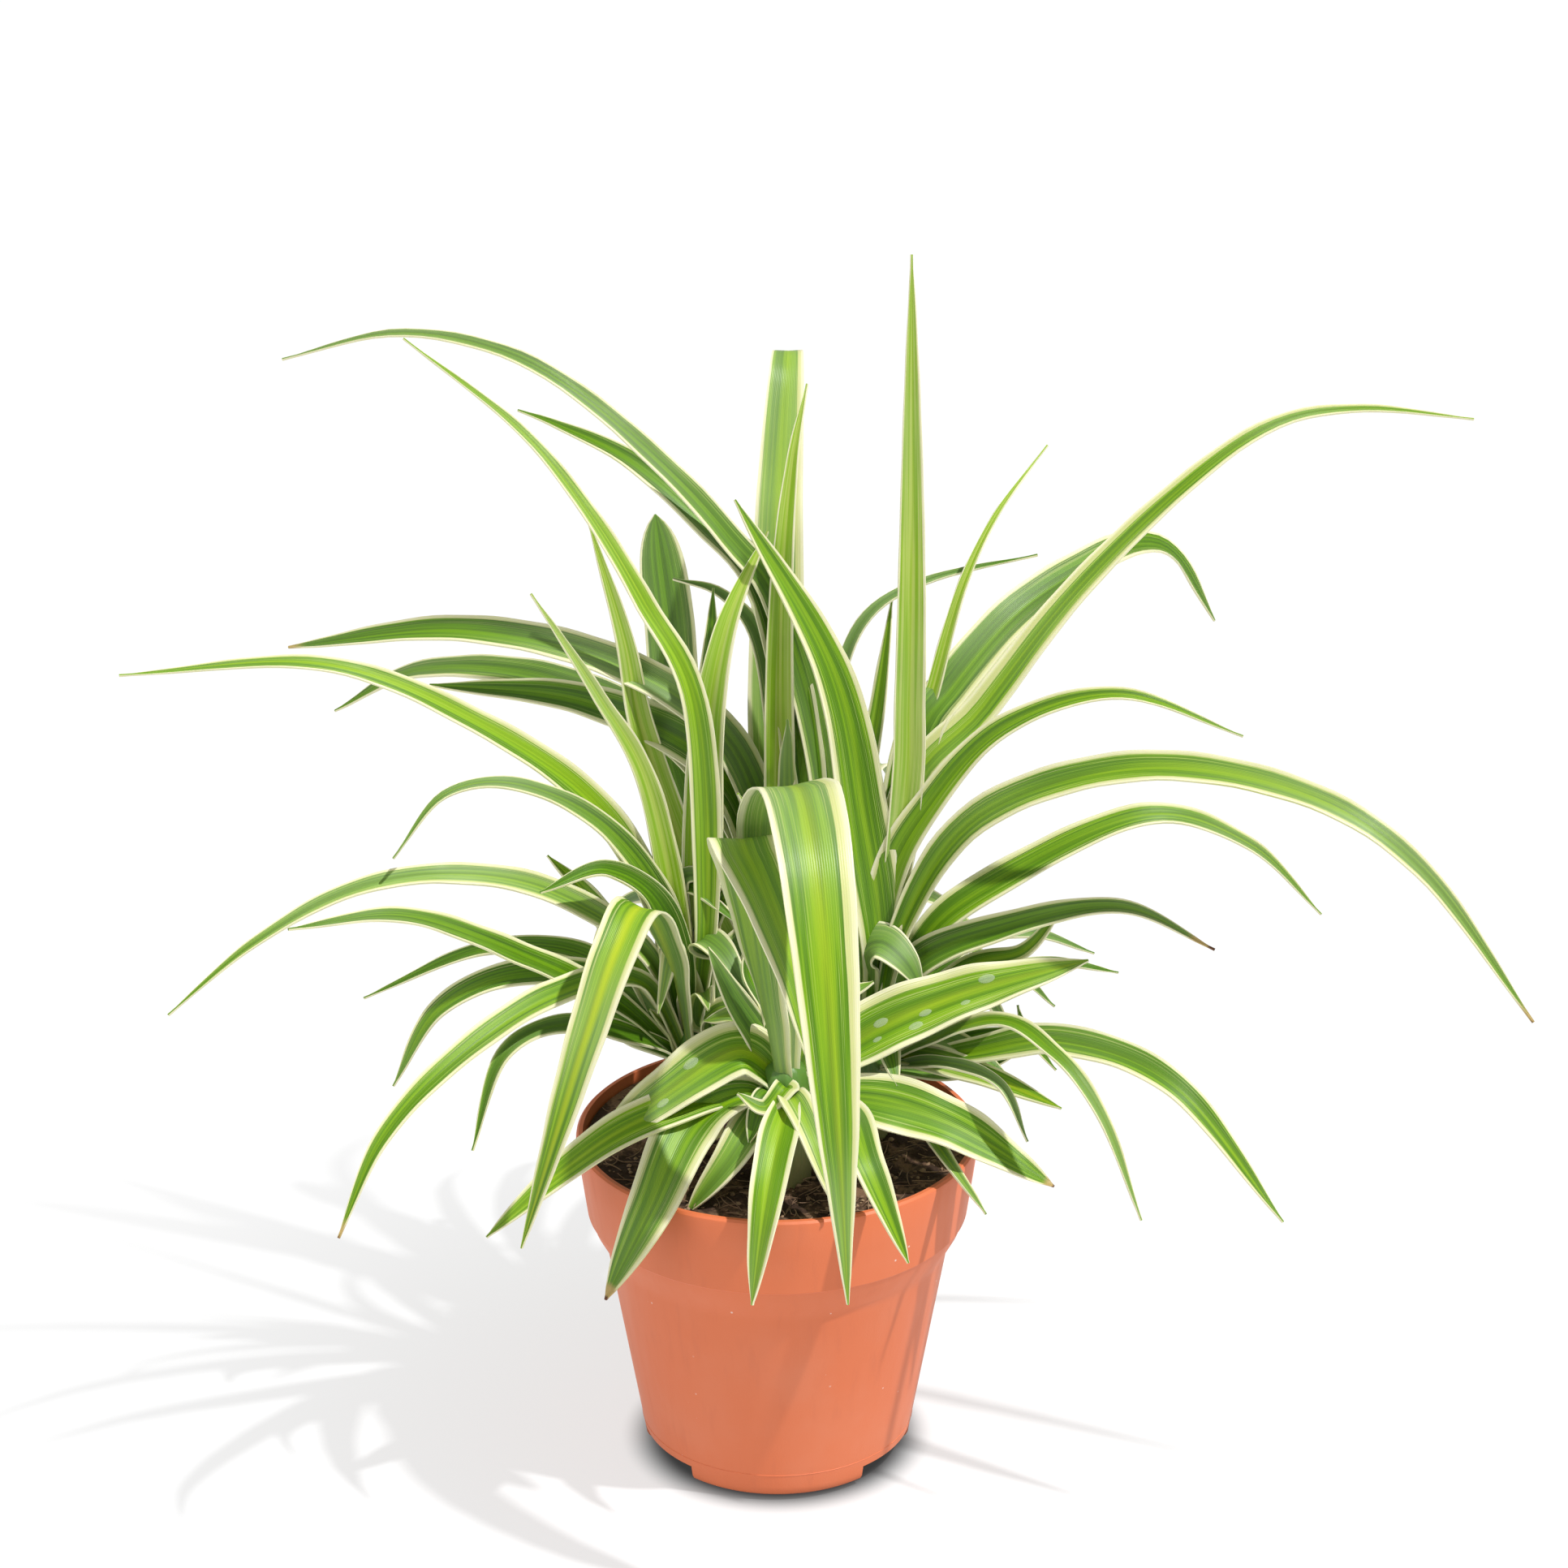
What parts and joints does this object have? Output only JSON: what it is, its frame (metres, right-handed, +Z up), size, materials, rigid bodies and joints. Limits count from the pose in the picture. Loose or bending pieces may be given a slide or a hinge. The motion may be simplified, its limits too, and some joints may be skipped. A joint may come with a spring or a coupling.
{
  "type": "potted spider plant",
  "caption": "Spider plant with long arching leaves, striped green and cream, growing in several crowns from soil in a tapered plastic nursery pot.",
  "frame": {"origin": "centre of the pot's underside, on the surface that the pot stands on", "axes": "+Z up along the pot's axis, +X along the leaves' widest spread, -Y towards the side with the long hanging leaf"},
  "size_m": [0.3927, 0.2733, 0.368],
  "materials": {
    "pot_plastic": "satin terracotta-coloured moulded plastic",
    "soil": null,
    "leaf": null
  },
  "bodies": {
    "root": {"pot": "pot_plastic", "soil": "soil", "leaves_left": "leaf", "leaves_right": "leaf", "leaves_front": "leaf", "leaves_back": "leaf"}
  },
  "joints": []
}
